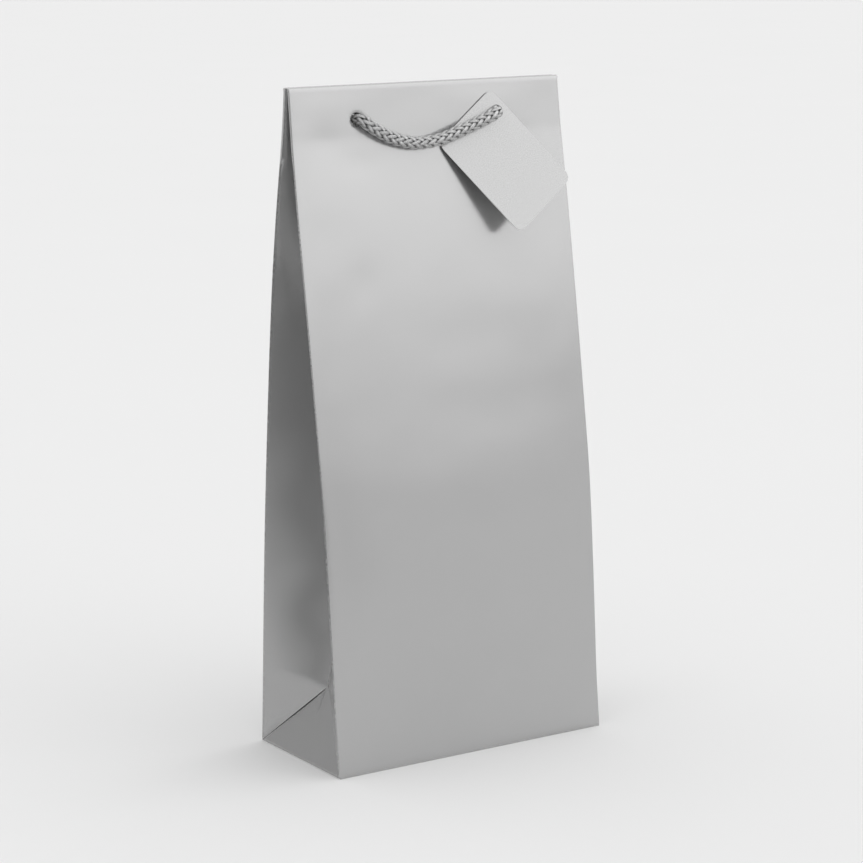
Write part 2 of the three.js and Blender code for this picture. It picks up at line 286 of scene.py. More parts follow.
def run_lengths(points):
    return np.concatenate([[0], np.cumsum(np.linalg.norm(np.diff(points, axis=0), axis=1))])


def resampled(points, step):
    run = run_lengths(points)
    at = np.linspace(0, run[-1], max(2, round(run[-1] / step) + 1))
    return np.stack([np.interp(at, run, points[:, k]) for k in range(3)], axis=1)


# ---- Camera ----
CAMERA_TARGET = Vector((0.00212, 0, 0.17915))
CAMERA_AZIMUTH = math.radians(-32.59)
CAMERA_ELEVATION = math.radians(10.91)
CAMERA_ROLL = math.radians(-0.65)
CAMERA_DISTANCE = 1.532
SENSOR = 36
LENS = 3.1 * SENSOR


def add_camera():
    back = Vector((
        math.sin(CAMERA_AZIMUTH) * math.cos(CAMERA_ELEVATION),
        -math.cos(CAMERA_AZIMUTH) * math.cos(CAMERA_ELEVATION),
        math.sin(CAMERA_ELEVATION),
    ))
    level = Vector((0, 0, 1)).cross(back).normalized()
    upright = back.cross(level)
    right = level * math.cos(CAMERA_ROLL) + upright * math.sin(CAMERA_ROLL)
    up = upright * math.cos(CAMERA_ROLL) - level * math.sin(CAMERA_ROLL)
    data = bpy.data.cameras.new("camera")
    data.sensor_width = SENSOR
    data.lens = LENS
    data.clip_end = 100
    camera = bpy.data.objects.new("camera", data)
    bpy.context.scene.collection.objects.link(camera)
    place = Matrix((right, up, back)).transposed().to_4x4()
    place.translation = CAMERA_TARGET + back * CAMERA_DISTANCE
    camera.matrix_world = place
    bpy.context.scene.camera = camera


# ---- Materials ----
class Graph:
    """A node tree that is written one node to a line."""

    def __init__(self, tree):
        self.tree = tree
        self.tree.nodes.clear()

    def add(self, kind, settings=None, **inputs):
        node = self.tree.nodes.new(kind)
        for key, value in (settings or {}).items():
            setattr(node, key, value)
        for key, value in inputs.items():
            self.put(node.inputs[key.replace("_", " ")], value)
        return node

    def put(self, socket, value):
        if isinstance(value, bpy.types.NodeSocket):
            self.tree.links.new(value, socket)
        else:
            socket.default_value = value

    def math(self, operation, first, second=0.0, third=0.0):
        node = self.tree.nodes.new("ShaderNodeMath")
        node.operation = operation
        for socket, value in zip(node.inputs, (first, second, third)):
            self.put(socket, value)
        return node.outputs[0]

    def noise(self, coordinates, scale, detail=3.0, roughness=0.5):
        node = self.add("ShaderNodeTexNoise", Vector=coordinates, Scale=scale, Detail=detail,
                        Roughness=roughness)
        return node.outputs[0]

    def ramp(self, value, low, high):
        """low where value is 0 and high where it is 1, clamped."""
        node = self.add("ShaderNodeMapRange", Value=value, To_Min=low, To_Max=high)
        return node.outputs[0]

    def between(self, value, start, end):
        node = self.add("ShaderNodeMapRange", {"interpolation_type": "SMOOTHSTEP"}, Value=value,
                        From_Min=start, From_Max=end)
        return node.outputs[0]

    def mix(self, share, first, second):
        node = self.tree.nodes.new("ShaderNodeMix")
        node.data_type = "RGBA"
        self.put(node.inputs["Factor"], share)
        self.put(node.inputs[6], first)
        self.put(node.inputs[7], second)
        return node.outputs[2]

    def bump(self, height, distance, strength=1.0, under=None):
        node = self.add("ShaderNodeBump", Height=height, Distance=distance, Strength=strength)
        if under is not None:
            self.put(node.inputs["Normal"], under)
        return node.outputs[0]


def grey(value, warmth=0.0):
    return (value * (1 + warmth), value, value * (1 - warmth), 1)


def new_material(name):
    material = bpy.data.materials.new(name)
    material.use_nodes = True
    graph = Graph(material.node_tree)
    place = graph.add("ShaderNodeTexCoord").outputs["Object"]
    shader = graph.add("ShaderNodeBsdfPrincipled")
    graph.add("ShaderNodeOutputMaterial", Surface=shader.outputs[0])
    return material, graph, place, shader


FILM_METALNESS = 0.74
CLOUD_SCALE = 14
RIPPLE_SCALE = 110
FLECK_SCALE = 900
TOOTH_SCALE = 2600


def silver_laminate(name, tone, roughness):
    """Satin silver film on paper: soft clouds, a fine tooth, and lighter film at edges and creases, which
    is wear and at the side creases also a painted highlight.
    """
    material, graph, place, shader = new_material(name)
    clouds = graph.noise(place, CLOUD_SCALE, 2)
    tooth = graph.noise(place, TOOTH_SCALE, 2)
    wear = graph.add("ShaderNodeAttribute", {"attribute_name": "wear"}).outputs["Fac"]
    flecks = graph.between(graph.noise(place, FLECK_SCALE, 4, 0.7), 0.38, 0.6)
    film_lightened = graph.math("MULTIPLY", wear, flecks)
    silver = graph.mix(clouds, grey(tone * 0.97), grey(tone * 1.03))
    # Lighter film where the lightening attribute is high: worn laminate, and at the side creases also a
    # painted highlight along the crease.
    graph.put(shader.inputs["Base Color"], graph.mix(film_lightened, silver, grey(tone * 1.35)))
    shader.inputs["Metallic"].default_value = FILM_METALNESS
    grain = graph.math("MULTIPLY_ADD", tooth, 0.06, roughness - 0.03)
    cloudy = graph.math("MULTIPLY_ADD", clouds, 0.05, grain)
    graph.put(shader.inputs["Roughness"], graph.math("MULTIPLY_ADD", film_lightened, 0.25, cloudy))
    ripple = graph.bump(graph.noise(place, RIPPLE_SCALE, 2), 0.00006, 0.16)
    graph.put(shader.inputs["Normal"], graph.bump(tooth, 0.00002, 0.1, ripple))
    return material


def plain_paper(name, tone, warmth, fibre_scale, speck):
    """Uncoated paper or board: matt, with fibres and darker specks."""
    material, graph, place, shader = new_material(name)
    fibres = graph.noise(place, fibre_scale, 6, 0.65)
    specks = graph.between(graph.noise(place, fibre_scale * 0.6, 2), 0.68, 0.74)
    paper = graph.mix(fibres, grey(tone * 0.93, warmth), grey(tone * 1.05, warmth))
    dark = graph.math("MULTIPLY", specks, speck)
    graph.put(shader.inputs["Base Color"], graph.mix(dark, paper, grey(tone * 0.45, warmth * 2)))
    graph.put(shader.inputs["Roughness"], graph.ramp(fibres, 0.78, 0.92))
    graph.put(shader.inputs["Normal"], graph.bump(fibres, 0.00006, 0.6))
    return material


YARN_METALNESS = 0.75
FILAMENTS_ALONG = 900        # turns of the wave that draws them, in radians for each metre
FILAMENTS_AROUND = 82


def silver_yarn():
    """Shiny yarn: fine filaments along each strand, with painted shade that darkens it where it dips
    under another.
    """
    material, graph, _, shader = new_material("cord_yarn")
    yarn = graph.add("ShaderNodeAttribute", {"attribute_name": "yarn"}).outputs["Vector"]
    outside = graph.add("ShaderNodeAttribute", {"attribute_name": "outside"}).outputs["Fac"]
    parts = graph.add("ShaderNodeSeparateXYZ", Vector=yarn)
    around, along, strand = parts.outputs
    drift = graph.noise(graph.add("ShaderNodeCombineXYZ", X=along, Y=strand).outputs[0], 180, 2)
    turned = graph.math("MULTIPLY_ADD", along, FILAMENTS_ALONG,
                        graph.math("MULTIPLY", around, FILAMENTS_AROUND))
    lines = graph.math("SINE", graph.math("MULTIPLY_ADD", drift, 7, turned))
    filaments = graph.math("MULTIPLY_ADD", lines, 0.5, 0.5)
    shade = graph.math("MULTIPLY_ADD", drift, 0.5, graph.math("MULTIPLY", filaments, 0.5))
    silk = graph.mix(shade, grey(0.42), grey(0.80))
    # Painted shade: the yarn turns nearly black towards the gaps between the strands.
    graph.put(shader.inputs["Base Color"], graph.mix(outside, grey(0.03), silk))
    shader.inputs["Metallic"].default_value = YARN_METALNESS
    graph.put(shader.inputs["Roughness"], graph.ramp(filaments, 0.36, 0.22))
    graph.put(shader.inputs["Normal"], graph.bump(filaments, 0.00006, 0.7))
    return material


def cord_core():
    material, graph, place, shader = new_material("cord_core")
    threads = graph.noise(place, 3000, 2)
    graph.put(shader.inputs["Base Color"], graph.mix(threads, grey(0.05), grey(0.12)))
    shader.inputs["Roughness"].default_value = 0.8
    return material


def floor_material():
    material, graph, place, shader = new_material("floor")
    tone = graph.noise(place, 3, 2)
    graph.put(shader.inputs["Base Color"], graph.mix(tone, grey(0.775), grey(0.785)))
    shader.inputs["Roughness"].default_value = 0.9
    shader.inputs["Specular IOR Level"].default_value = 0.1
    return material


SILVER = silver_laminate("silver_paper_outside", 0.47, 0.21)
TAG_SILVER = silver_laminate("tag_silver", 0.49, 0.25)
WHITE = plain_paper("paper_inside", 0.80, 0.012, 1500, 0.15)
TAG_CORE = plain_paper("tag_core", 0.55, 0.008, 1800, 0.1)
REINFORCEMENT = plain_paper("reinforcement_board", 0.70, 0.03, 1100, 0.4)
BASE_BOARD = plain_paper("base_board_grey", 0.58, 0.035, 800, 0.8)
YARN = silver_yarn()
CORE = cord_core()


# ---- Studio ----
SOFTBOX = Vector((0.85, -0.50, 0.15)).normalized()
SOFTBOX_FADE = (0.20, 0.95)  # cosines of the angles from its middle where it starts and is full
SOFTBOX_FOOT = (0.055, 0.095)   # heights on the unit sky where its lower edge starts and ends
CEILING_EDGE = (0.45, 0.70)     # heights where the ceiling starts and is full
SOFTBOX_RADIANCE = 1.72
CEILING_RADIANCE = 1.25
ROOM_RADIANCE = 0.44
FLOOR_HALF_SIZE = 40
CARD_START, CARD_END = math.radians(-115), math.radians(20)   # azimuths, from the front to the right
CARD_NEAR, CARD_WIDER, CARD_FAR = 0.13, 0.90, 2.5   # inner radius, its growth and outer radius
CARD_GROWTH = (math.radians(-60), math.radians(15))   # azimuths where it grows
CARD_LIFT = 0.0004
CARD_RADIANCES = (0.70, 0.44, 0.10)
CARD_FADES = ((0.27, 0.38), (0.45, 0.60))   # distances where each turns into the next


def add_studio():
    """A wide softbox at the front right, down to just above the horizon, under an even ceiling."""
    world = bpy.data.worlds.new("studio")
    world.use_nodes = True
    bpy.context.scene.world = world
    graph = Graph(world.node_tree)
    towards = graph.add("ShaderNodeTexCoord").outputs["Generated"]
    facing = graph.add("ShaderNodeVectorMath", {"operation": "DOT_PRODUCT"})
    graph.put(facing.inputs[0], towards)
    facing.inputs[1].default_value = SOFTBOX
    height = graph.add("ShaderNodeSeparateXYZ", Vector=towards).outputs["Z"]
    inside = graph.between(facing.outputs["Value"], *SOFTBOX_FADE)
    above = graph.between(height, *SOFTBOX_FOOT)
    walls = graph.ramp(graph.math("MULTIPLY", inside, above), ROOM_RADIANCE, SOFTBOX_RADIANCE)
    overhead = graph.between(height, *CEILING_EDGE)
    radiance = graph.ramp(overhead, walls, CEILING_RADIANCE)
    background = graph.add("ShaderNodeBackground", Color=grey(1.0), Strength=radiance)
    graph.add("ShaderNodeOutputWorld", Surface=background.outputs[0])

    far = FLOOR_HALF_SIZE
    corners = [(-far, -far, 0), (far, -far, 0), (far, far, 0), (-far, far, 0)]
    add_mesh("floor", corners, [(0, 1, 2, 3)], [floor_material()])
    add_reflector_card()
    bpy.context.scene.view_settings.view_transform = "Standard"


def add_reflector_card():
    """A grey card on the floor at the front left, seen only in reflections: darker further out."""
    azimuths = np.linspace(CARD_START, CARD_END, 24)
    directions = np.stack([np.sin(azimuths), -np.cos(azimuths)], 1)
    near = CARD_NEAR + CARD_WIDER * smooth_step(azimuths, *CARD_GROWTH)
    rim = np.concatenate([directions * near[:, None], directions * CARD_FAR])
    points = np.concatenate([rim, np.full((len(rim), 1), CARD_LIFT)], 1)
    count = len(azimuths)
    faces = [(k, count + k, count + k + 1, k + 1) for k in range(count - 1)]
    material = bpy.data.materials.new("reflector_card")
    material.use_nodes = True
    graph = Graph(material.node_tree)
    place = graph.add("ShaderNodeTexCoord").outputs["Object"]
    distance = graph.add("ShaderNodeVectorMath", {"operation": "LENGTH"}, Vector=place).outputs["Value"]
    radiance = CARD_RADIANCES[0]
    for fade, following in zip(CARD_FADES, CARD_RADIANCES[1:]):
        radiance = graph.ramp(graph.between(distance, *fade), radiance, following)
    glow = graph.add("ShaderNodeEmission", Color=grey(1.0), Strength=radiance)
    graph.add("ShaderNodeOutputMaterial", Surface=glow.outputs[0])
    card = add_mesh("reflector_card", points, faces, [material])
    for kind in ("camera", "diffuse", "shadow", "transmission", "volume_scatter"):
        setattr(card, f"visible_{kind}", False)


# ---- Cord ----
STRANDS = 8                  # that wind each way
STRAND_RADIUS = 0.00222      # of the strands' mean winding cylinder
STRAND_SWING = 0.00080       # by which a strand rises over and dips under the others
STRAND_HALF_WIDTH = 0.00104
STRAND_HALF_HEIGHT = 0.00070
STRAND_TURN = 148            # radians of winding for each metre of cord
STRAND_SIDES = 8
STRAND_DWELL = 1.3           # how long a strand stays over or under before it crosses
STRAND_OFFSET = 0.37         # sets each strand's filaments apart from the next one's
CORE_SHARE = 0.8             # of the strands' radius
GAP_SHADE_SHARE = 0.8              # of the way out to the outermost yarn, where the painted shade of the gaps ends
GAP_SHADE_RADIUS = 0.0022          # where the painted shade in the gaps between the strands is darkest
STITCH_TURN = math.radians(7.5)   # brings a row of stitches to the front of a loop
CORD_ENTRY = -0.0012         # stand-off at which the outer stretch ends, inside the hole
ELBOW_RUN = 0.0045
HOLE_SQUEEZE = 0.86          # of the cord's section in its hole
PRESSED_WIDTH = 0.90         # of its section between the two panels
PRESSED_THICKNESS = 0.32
KNOT_RADIUS = 0.00155        # a third of the knot's reach from its middle
KNOT_SWING = 0.0014
KNOT_TIGHTNESS = 0.66
TAIL_THICKNESS = 0.5


def carried_frames(points, first):
    """Two unit vectors square to the curve at each point, carried along it without twisting."""
    tangents = unit(np.gradient(points, axis=0))
    normals = np.zeros_like(points)
    current = np.array(first, float)
    for k, tangent in enumerate(tangents):
        current = current - tangent * (current @ tangent)
        current = current / np.linalg.norm(current)
        normals[k] = current
    return normals, np.cross(tangents, normals)


def tube(points, across, up, half_width, half_height, sides):
    """A closed tube of elliptical section as points, faces and angles round the section."""
    angles = np.arange(sides) * 2 * math.pi / sides
    ring = (np.cos(angles)[None, :, None] * (across * half_width[:, None])[:, None, :]
            + np.sin(angles)[None, :, None] * (up * half_height[:, None])[:, None, :])
    verts = (points[:, None, :] + ring).reshape(-1, 3)
    count = len(points)
    faces = grid_faces(count, sides, closed=True)
    faces.append(tuple(reversed(range(sides))))
    faces.append(tuple((count - 1) * sides + c for c in range(sides)))
    return verts, faces, np.tile(angles, count)


def braid(name, points, first_normal, scale_across=1.0, scale_through=1.0):
    """A round braid of sixteen strands, two over and two under, along a curve.

    The scales shrink its section along the carried normal and square to it.
    """
    normals, others = carried_frames(points, first_normal)
    run = run_lengths(points)
    across = np.broadcast_to(scale_across, run.shape)
    through = np.broadcast_to(scale_through, run.shape)
    core = np.full(len(run), STRAND_RADIUS * CORE_SHARE)
    verts, faces, _ = tube(points, normals, others, core * across, core * through, 10)
    parts = [(verts, faces, 1, np.zeros((len(verts), 3)), np.zeros(len(verts)))]
    for direction in (1, -1):
        for index in range(STRANDS):
            parts.append(strand(points, normals, others, run, across, through, direction, index))
    starts = np.cumsum([0] + [len(part[0]) for part in parts])
    faces, materials = [], []
    for start, part in zip(starts, parts):
        faces.extend(tuple(int(start) + k for k in face) for face in part[1])
        materials.extend([part[2]] * len(part[1]))
    return add_mesh(name, np.concatenate([part[0] for part in parts]), faces, [YARN, CORE], materials,
                    yarn=np.concatenate([part[3] for part in parts]),
                    outside=np.concatenate([part[4] for part in parts]))


def strand(points, normals, others, run, across, through, direction, index):
    """One of a braid's strands: its points, faces, material, yarn coordinates and how free it is of the
    painted gap shade.
    """
    start = 2 * math.pi * index / STRANDS + (math.pi / STRANDS if direction < 0 else 0)
    angle = start + direction * STRAND_TURN * run
    rise = np.tanh(STRAND_DWELL * np.cos(STRANDS / 2 * angle)) / math.tanh(STRAND_DWELL)
    radius = STRAND_RADIUS + direction * STRAND_SWING * rise
    cos, sin = np.cos(angle), np.sin(angle)
    middle = (points + (radius * across * cos)[:, None] * normals
              + (radius * through * sin)[:, None] * others)
    outward = unit((cos / across)[:, None] * normals + (sin / through)[:, None] * others)
    along = unit(np.gradient(middle, axis=0))
    sideways = unit(np.cross(along, outward))
    outward = np.cross(sideways, along)
    squeeze = np.hypot(across * cos, through * sin)
    width = STRAND_HALF_WIDTH * np.sqrt(across * through) ** 0.5
    verts, faces, turned = tube(
        middle, sideways, outward, width, STRAND_HALF_HEIGHT * squeeze, STRAND_SIDES)
    offset = STRAND_OFFSET * (index + (STRANDS if direction < 0 else 0))
    yarn = np.stack([np.cos(turned), np.repeat(run, STRAND_SIDES), np.full(len(verts), offset)], 1)
    # Painted shade in the gaps: the yarn is darkened where a strand lies deep in the braid.
    reach = np.repeat(radius, STRAND_SIDES) + STRAND_HALF_HEIGHT * np.sin(turned)
    outermost = STRAND_RADIUS + STRAND_SWING + STRAND_HALF_HEIGHT
    shade_ends_at = GAP_SHADE_RADIUS + GAP_SHADE_SHARE * (outermost - GAP_SHADE_RADIUS)
    return verts, faces, 0, yarn, smooth_step(reach, GAP_SHADE_RADIUS, shade_ends_at)


def cord_pull(side, inward):
    """How far the cord is pulled over towards the middle in its hole: most where it lies on the tag."""
    return 0.0016 if (side, inward) == ("front", -1) else 0.0006


def loop_route(side):
    """The cord's outer stretch with the elbows that take it in through the two holes."""
    loop = LOOPS[side]
    left, right = loop[0][0] + cord_pull(side, 1), loop[-1][0] - cord_pull(side, -1)
    reach = loop[-1][1]
    into = [
        (left, CORD_ENTRY, HOLE_HEIGHT),
        (left, 0.0012, HOLE_HEIGHT + 0.0003),
        (left + 0.0010, 0.0030, HOLE_HEIGHT - 0.0003),
    ]
    out = [
        (right - 0.0018, reach - 0.0005, HOLE_HEIGHT - 0.0007),
        (right - 0.0004, reach - 0.0022, HOLE_HEIGHT - 0.0002),
        (right, 0.0010, HOLE_HEIGHT),
        (right, CORD_ENTRY, HOLE_HEIGHT),
    ]
    return into + loop[1:-1] + out


def add_loop(side):
    points = smooth_curve([on_panel(side, *point) for point in loop_route(side)], 0.0007)
    run = run_lengths(points)
    to_end = np.minimum(run, run[-1] - run)
    narrow = HOLE_SQUEEZE + (1 - HOLE_SQUEEZE) * smooth_step(to_end, 0.002, ELBOW_RUN + 0.001)
    turn = -1 if side == "back" else 1
    obj = braid(f"{side}_cord_loop", points, (turn * math.cos(STITCH_TURN), 0, math.sin(STITCH_TURN)),
                narrow, narrow)
    share = smooth_step(run, 0, ELBOW_RUN) * smooth_step(run[-1] - run, 0, ELBOW_RUN)
    return obj, points, run, share


def cord_end_route(hole_x, inward, pull):
    """Where the pressed-flat cord runs inside the mouth, from the hole down to the knot."""
    steps = [
        (hole_x + pull * inward, CORD_ENTRY + 0.0006, 0.0),
        (hole_x + 0.0005 * inward, -0.0019, 0.0001),
        (hole_x + 0.0005 * inward, -0.0028, 0.0009),
        (hole_x + 0.0005 * inward, -0.0031, 0.0022),
        (hole_x + 0.0012 * inward, -0.0031, 0.0042),
        (hole_x + 0.0045 * inward, -0.0032, 0.010),
        (hole_x + 0.0075 * inward, -0.0039, 0.020),
        (hole_x + KNOT_SHIFT * inward, -KNOT_DEPTH, 0.032),
    ]
    return [(x, stand_off, HOLE_HEIGHT - drop) for x, stand_off, drop in steps]


def add_cord_end(side, name, hole_x, inward):
    route = cord_end_route(hole_x, inward, cord_pull(side, inward))
    points = smooth_curve([on_panel(side, *point) for point in route], 0.0008)
    run = run_lengths(points)
    flatness = smooth_step(run, 0.0003, 0.003)
    width = HOLE_SQUEEZE + (PRESSED_WIDTH - HOLE_SQUEEZE) * flatness
    thickness = HOLE_SQUEEZE + (PRESSED_THICKNESS - HOLE_SQUEEZE) * flatness
    return braid(f"{name}_end", points, (1, 0, 0), width, thickness)


def add_knot(side, name, hole_x, inward):
    """An overhand knot pulled tight, and the short tail below it."""
    turn = np.linspace(0, 2 * math.pi, 90)
    middle = (hole_x + KNOT_SHIFT * inward, -KNOT_DEPTH, HOLE_HEIGHT - KNOT_DROP)
    across = KNOT_RADIUS * (np.sin(turn) + 2 * np.sin(2 * turn))
    up = KNOT_RADIUS * (np.cos(turn) - 2 * np.cos(2 * turn))
    through = -KNOT_SWING * np.sin(3 * turn)
    points = on_panel(side, middle[0] + across, middle[1] + through, middle[2] + up)
    route = resampled(points, 0.0008)
    knot = braid(f"{name}_knot", route, (0, 1, 0), KNOT_TIGHTNESS, KNOT_TIGHTNESS)
    bends = [(0, 0.003), (0.0006, 0.007), (0.0016, 0.0105)]
    tail = [on_panel(side, middle[0] + shift, middle[1], middle[2] - drop) for shift, drop in bends]
    tail_route = smooth_curve(tail, 0.0008)
    return knot, braid(f"{name}_tail", tail_route, (1, 0, 0), HOLE_SQUEEZE, TAIL_THICKNESS)


def add_handle(side):
    world_sides = ("left", "right") if side == "front" else ("right", "left")
    body = f"{side}_panel"
    for (hole_x, _), where, inward in zip(holes_of(side), world_sides, (1, -1)):
        name = f"{side}_cord_{where}"
        end = add_cord_end(side, name, hole_x, inward)
        knot, tail = add_knot(side, name, hole_x, inward)
        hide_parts(f"{side}_handle_{where}_end")
        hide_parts(f"{side}_handle_{where}_knot")
        for piece in (end, knot, tail):
            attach(piece, body)

    loop, points, run, share = add_loop(side)
    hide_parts(f"{side}_handle_loop")
    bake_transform(loop)
    verts = np.array([v.co for v in loop.data.vertices])
    nearest = nearest_points(verts, points)


def nearest_points(verts, points):
    found = np.zeros(len(verts), int)
    for start in range(0, len(verts), 4000):
        block = verts[start:start + 4000]
        distance = np.linalg.norm(block[:, None, :] - points[None, :, :], axis=2)
        found[start:start + 4000] = distance.argmin(axis=1)
    return found


# ---- Panels ----
FOLD_RADIUS = (HEM_DEPTH - PAPER / 2) / 2
FOLD_HEIGHT = PANEL_LENGTH - FOLD_RADIUS - PAPER / 2
FOLD_RUN = math.pi * FOLD_RADIUS
PANEL_START = 0.0005
CURL_START = HALF_WIDTH - PAPER / 2 - CREASE_RADIUS   # where a panel's side curls into its crease
CURL_TURN = math.radians(80)
CURL_LINES = 6
SIDE_STRIP = 0.086           # from the middle to the strip beside the curl
FOOT_STRIP = 0.003           # height up to which the grid is fine
FOLD_LINES = 8
HEM_NARROWING = 0.985
SEAM_WIDTH = 0.016
SEAM_INSET = 0.0013          # from the back panel's side edge
SEAM_BOTTOM = 0.004
SEAM_TO_HEM = 0.002
SEAM_DEPTH = 0.00052         # middle of the flap's paper, below the panel's outer face


def panel_section(run):
    """Stand-off and height of the paper's middle at each run, measured up from the bottom crease."""
    past = np.clip(run - FOLD_HEIGHT, 0, FOLD_RUN)
    angle = past / FOLD_RADIUS
    beyond = np.maximum(run - FOLD_HEIGHT - FOLD_RUN, 0)
    stand_off = -PAPER / 2 - FOLD_RADIUS * (1 - np.cos(angle))
    height = np.minimum(run, FOLD_HEIGHT) + FOLD_RADIUS * np.sin(angle) - beyond
    return stand_off, height


def slow_noise(x, height, size, seed):
    return np.array([
        noise.noise(Vector((a / size, b / size, seed))) for a, b in zip(np.ravel(x), np.ravel(height))
    ]).reshape(np.shape(x))


# The paper springs out between the base and the mouth: height and stand-off at a panel's sides.
BULGE = {
    "front": [(0, 0), (0.033, 0.0005), (0.066, 0.0021), (0.110, 0.0040), (0.154, 0.0054), (0.203, 0.0046),
              (0.253, 0.0034), (0.308, 0.0015), (0.345, 0.0002), (0.358, 0), (PANEL_LENGTH, 0)],
    "back": [(0, 0), (0.028, 0.0009), (0.061, 0.0019), (0.110, 0.0031), (0.160, 0.0041), (0.226, 0.0047),
             (0.275, 0.0041), (0.322, 0.0018), (0.347, 0.0004), (0.360, 0), (PANEL_LENGTH, 0)],
}
# Shallow dents: x, height, half width, half height and depth.
DENTS = {
    "front": [
        (0.052, 0.052, 0.012, 0.008, -0.00018),
        (-0.052, 0.272, 0.010, 0.013, -0.00015),
        (0.020, 0.118, 0.030, 0.012, -0.00012),
        (-0.067, 0.350, 0.012, 0.010, -0.00022),
        (-0.048, 0.338, 0.016, 0.007, -0.00012),
    ],
    "back": [
        (0.030, 0.210, 0.016, 0.010, -0.00020),
        (-0.055, 0.090, 0.012, 0.018, -0.00018),
    ],
}
WAVES = [(0.00030, 0.085), (0.00010, 0.030)]   # height and length of the paper's slow waves
WAVE_SEED = {"front": 3.7, "back": 9.2}
CROWN = 0.0022               # by which a panel's middle stands out further than its sides
CROWN_HEIGHT = 0.105
CROWN_REACH = 0.075
FOOT_ROLL = 0.0007           # by which the paper rolls under at the floor
WIDENING = 0.0009            # of each side of the bag, where the panels are not creased
RIM_PRESS = 0.00015          # by which the punch pressed a hole's rim inwards
RIM_REACH = 0.0005

# Lightening of the film at the sides, the mouth, the floor and the inner creases: amount and reach. It is
# wear, and at the side creases also a painted highlight along the crease.
SIDE_WEAR_AND_HIGHLIGHT = (0.5, 0.0003)
MOUTH_WEAR = (0.25, 0.0005)
FLOOR_WEAR = (0.5, 0.0006)
CREASE_WEAR = (0.4, 0.0004)


def bulge(side, height):
    curve = smooth_curve([(*key, 0) for key in BULGE[side]], 0.001)
    return np.interp(height, curve[:, 0], curve[:, 1])


def crown(x, height):
    across = np.clip(1 - (x / HALF_WIDTH) ** 2, 0, 1)
    up = np.exp(-((height - CROWN_HEIGHT) / CROWN_REACH) ** 2)
    return CROWN * across * up * smooth_step(height, 0, 0.04)


def widening(height):
    return WIDENING * smooth_step(height, 0, 0.14) * smooth_step(PANEL_LENGTH - height, 0, 0.08)


def relief(side, x, height):
    """How far the paper's waves and dents stand out of the panel's surface."""
    waves = sum(
        rise * slow_noise(x, height, length, WAVE_SEED[side] + 5 * k)
        for k, (rise, length) in enumerate(WAVES)
    )
    dents = sum(
        depth * np.exp(-((x - dx) ** 2 / wide ** 2 + (height - dh) ** 2 / tall ** 2))
        for dx, dh, wide, tall, depth in DENTS[side]
    )
    free = smooth_step(HALF_WIDTH - np.abs(x), 0, 0.012) * smooth_step(height, 0, 0.015)
    return (waves + dents) * free * smooth_step(PANEL_LENGTH - height, 0, 0.012)


def panel_grid(side):
    """A panel laid flat, with its holes: across it, and up to the fold, round it and down the hem."""
    hem_end = FOLD_HEIGHT + FOLD_RUN + (FOLD_HEIGHT - (PANEL_LENGTH - HEM_HEIGHT))
    hem_hole = FOLD_HEIGHT + FOLD_RUN + (FOLD_HEIGHT - HOLE_HEIGHT)
    holes = [(x, HOLE_HEIGHT, HOLE_RADIUS) for x, _ in holes_of(side)]
    holes += [(x / HEM_NARROWING, hem_hole, HOLE_RADIUS) for x, _ in holes_of(side)]

    square_edges = sorted(x + sign * HOLE_SQUARE for x, *_ in holes for sign in (-1, 1))
    curl = [CURL_START + CREASE_RADIUS * CURL_TURN * k / CURL_LINES for k in range(CURL_LINES + 1)]
    flat_part = spaced([-CURL_START, -SIDE_STRIP] + square_edges + [SIDE_STRIP, CURL_START], 0.0021)
    across = [-x for x in reversed(curl)] + flat_part[1:-1] + curl
    hole_low, hole_high = HOLE_HEIGHT - HOLE_SQUARE, HOLE_HEIGHT + HOLE_SQUARE
    hem_low, hem_high = hem_hole - HOLE_SQUARE, hem_hole + HOLE_SQUARE
    along = spaced([PANEL_START, FOOT_STRIP], 0.0008)[:-1]
    along += spaced([FOOT_STRIP, hole_low, hole_high, FOLD_HEIGHT], 0.0022)[:-1]
    along += spaced([FOLD_HEIGHT, FOLD_HEIGHT + FOLD_RUN], FOLD_RUN / FOLD_LINES)[:-1]
    along += spaced([FOLD_HEIGHT + FOLD_RUN, hem_low, hem_high, hem_end], 0.002)
    return punched_grid(across, along, holes)


def add_panel(side):
    """The outer sheet with its creased sides, folded over at the mouth into the hem."""
    flat, faces = panel_grid(side)
    sideways, run = flat[:, 0], flat[:, 1]
    stand_off, height = panel_section(run)
    outer_part = 1 - smooth_step(run, FOLD_HEIGHT - 0.002, FOLD_HEIGHT + FOLD_RUN / 2)
    turned = np.clip((np.abs(sideways) - CURL_START) / CREASE_RADIUS, 0, CURL_TURN)
    curled = np.minimum(np.abs(sideways), CURL_START) + CREASE_RADIUS * np.sin(turned)
    narrow = 1 - (1 - HEM_NARROWING) * smooth_step(run, FOLD_HEIGHT, FOLD_HEIGHT + FOLD_RUN)
    x = np.sign(sideways) * (curled * outer_part + np.abs(sideways) * (1 - outer_part)) * narrow
    stand_off = stand_off - outer_part * CREASE_RADIUS * (1 - np.cos(turned))
    shape = bulge(side, height) + crown(x, height) + relief(side, x, height) + hole_rims(side, x, height)
    stand_off = stand_off + outer_part * shape - FOOT_ROLL * np.exp(-height / FOOT_ROLL)
    to_side = HALF_WIDTH - np.abs(x)
    x = x * (1 + outer_part * widening(height) / HALF_WIDTH)
    points = on_panel(side, x, stand_off, height)

    to_top = np.abs(run - FOLD_HEIGHT - FOLD_RUN / 2)
    # Lightening of the film: wear at the mouth and floor, and along the side creases wear together with a
    # painted highlight.
    wear = np.maximum.reduce([
        film_lightening(to_side, *SIDE_WEAR_AND_HIGHLIGHT), film_lightening(to_top, *MOUTH_WEAR), film_lightening(height, *FLOOR_WEAR)])
    obj = add_sheet(f"{side}_panel_sheet", points, faces, PAPER, [SILVER, WHITE], wear=wear)
    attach(obj, f"{side}_panel")
    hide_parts(f"{side}_panel", f"{side}_top_hem")


